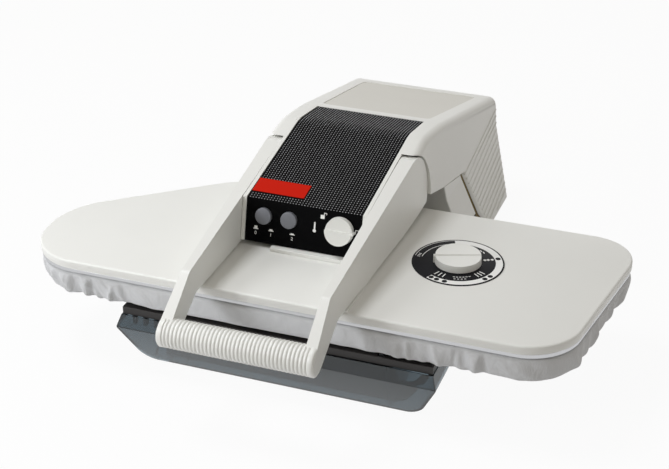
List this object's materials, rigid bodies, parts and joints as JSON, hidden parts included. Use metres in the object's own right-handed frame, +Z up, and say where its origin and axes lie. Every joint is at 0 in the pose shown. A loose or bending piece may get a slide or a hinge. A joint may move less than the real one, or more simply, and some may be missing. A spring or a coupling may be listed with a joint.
{
  "type": "steam ironing station",
  "caption": "Clam-shell steam ironing press with a padded board, a hinged heated plate under an arched head, a pull-down handle and a sliding water tank.",
  "frame": {"origin": "on the table, under the middle of the closed press seen from above", "axes": "+Z up; the grip and the control panel face -Y; +X is the right-hand side seen from the front"},
  "size_m": [0.6418, 0.6539, 0.2015],
  "materials": {
    "cream": "satin",
    "pale": "matt",
    "black": "satin",
    "charcoal": "matt",
    "button_grey": "satin",
    "smoke": "glossy, clear smoke grey",
    "steel": "brushed",
    "aluminium": "smooth",
    "brass": "plain",
    "foot_rubber": "matt",
    "hose": "matt",
    "foam": "soft",
    "cloth": "woven, coated",
    "circuit_board": "satin"
  },
  "bodies": {
    "base": {"rubber_feet": "foot_rubber", "base_tray": "charcoal", "base_cover": "cream", "base_deck": "charcoal", "tank_rails": "steel", "board_panel": "steel", "board_pad": "foam", "board_cover": "cloth", "hinge_brackets": "steel", "hinge_shaft": "steel", "hinge_bushes": "brass", "lift_springs": "steel", "water_pump": "charcoal", "pump_hose": "hose", "tank_coupling": "charcoal", "mains_gland": "charcoal", "base_screws": "steel"},
    "head": {"head_housing": "cream", "top_cover": "pale", "grille_band": "black", "control_panel": "black", "head_beam": "steel", "handle_bushes": "brass", "control_board": "circuit_board", "panel_switches": "charcoal", "front_lip": "cream", "plate_cover": "cream", "plate_rails": "cream", "heat_plate": "aluminium", "plate_mount": "aluminium", "heating_element": "steel", "steam_chamber": "aluminium", "steam_tube": "hose", "steam_valve": "charcoal", "insulation_sheet": "pale", "thermostat": "charcoal", "thermal_fuse": "pale", "dial_disc": "black", "head_screws": "steel", "lift_switch": "charcoal"},
    "handle": {"handle_arm_left": "cream", "handle_arm_right": "cream", "arm_liners": "cream", "grip": "cream", "grip_core": "steel", "handle_shaft": "steel", "shaft_levers": "steel"},
    "tank": {"tank_shell": "smoke", "tank_lid": "charcoal", "filler_cap": "smoke", "tank_valve": "charcoal", "tank_filter": "pale"},
    "button_left": {"button_left": "button_grey"},
    "button_right": {"button_right": "button_grey"},
    "selector": {"selector_knob": "cream", "selector_spindle": "steel"},
    "dial": {"dial_knob": "cream", "dial_spindle": "steel"}
  },
  "joints": [
    {"name": "press_hinge", "type": "hinge", "parent": "base", "child": "head", "pos_m": [-0.025, 0.275, 0.066], "axis": [-1, 0, 0], "range_deg": [0, 35]},
    {"name": "handle_hinge", "type": "hinge", "parent": "head", "child": "handle", "pos_m": [-0.025, -0.011, 0.1549], "axis": [-1, 0, 0], "range_deg": [0, 4]},
    {"name": "tank_slide", "type": "slide", "parent": "base", "child": "tank", "axis": [0, -1, 0], "range_m": [0, 0.16]},
    {"name": "left_button_press", "type": "slide", "parent": "head", "child": "button_left", "axis": [0, 0.9757, -0.219], "range_m": [0, 0.003], "stiffness_N_per_m": 300},
    {"name": "right_button_press", "type": "slide", "parent": "head", "child": "button_right", "axis": [0, 0.9757, -0.219], "range_m": [0, 0.003], "stiffness_N_per_m": 300},
    {"name": "selector_turn", "type": "hinge", "parent": "head", "child": "selector", "pos_m": [0.018, -0.12965, 0.1557], "axis": [0, -0.9757, 0.219], "range_deg": [0, 180]},
    {"name": "thermostat_turn", "type": "hinge", "parent": "head", "child": "dial", "pos_m": [0.142, -0.095, 0.1219], "axis": [0, 0, -1], "range_deg": [0, 300]}
  ]
}
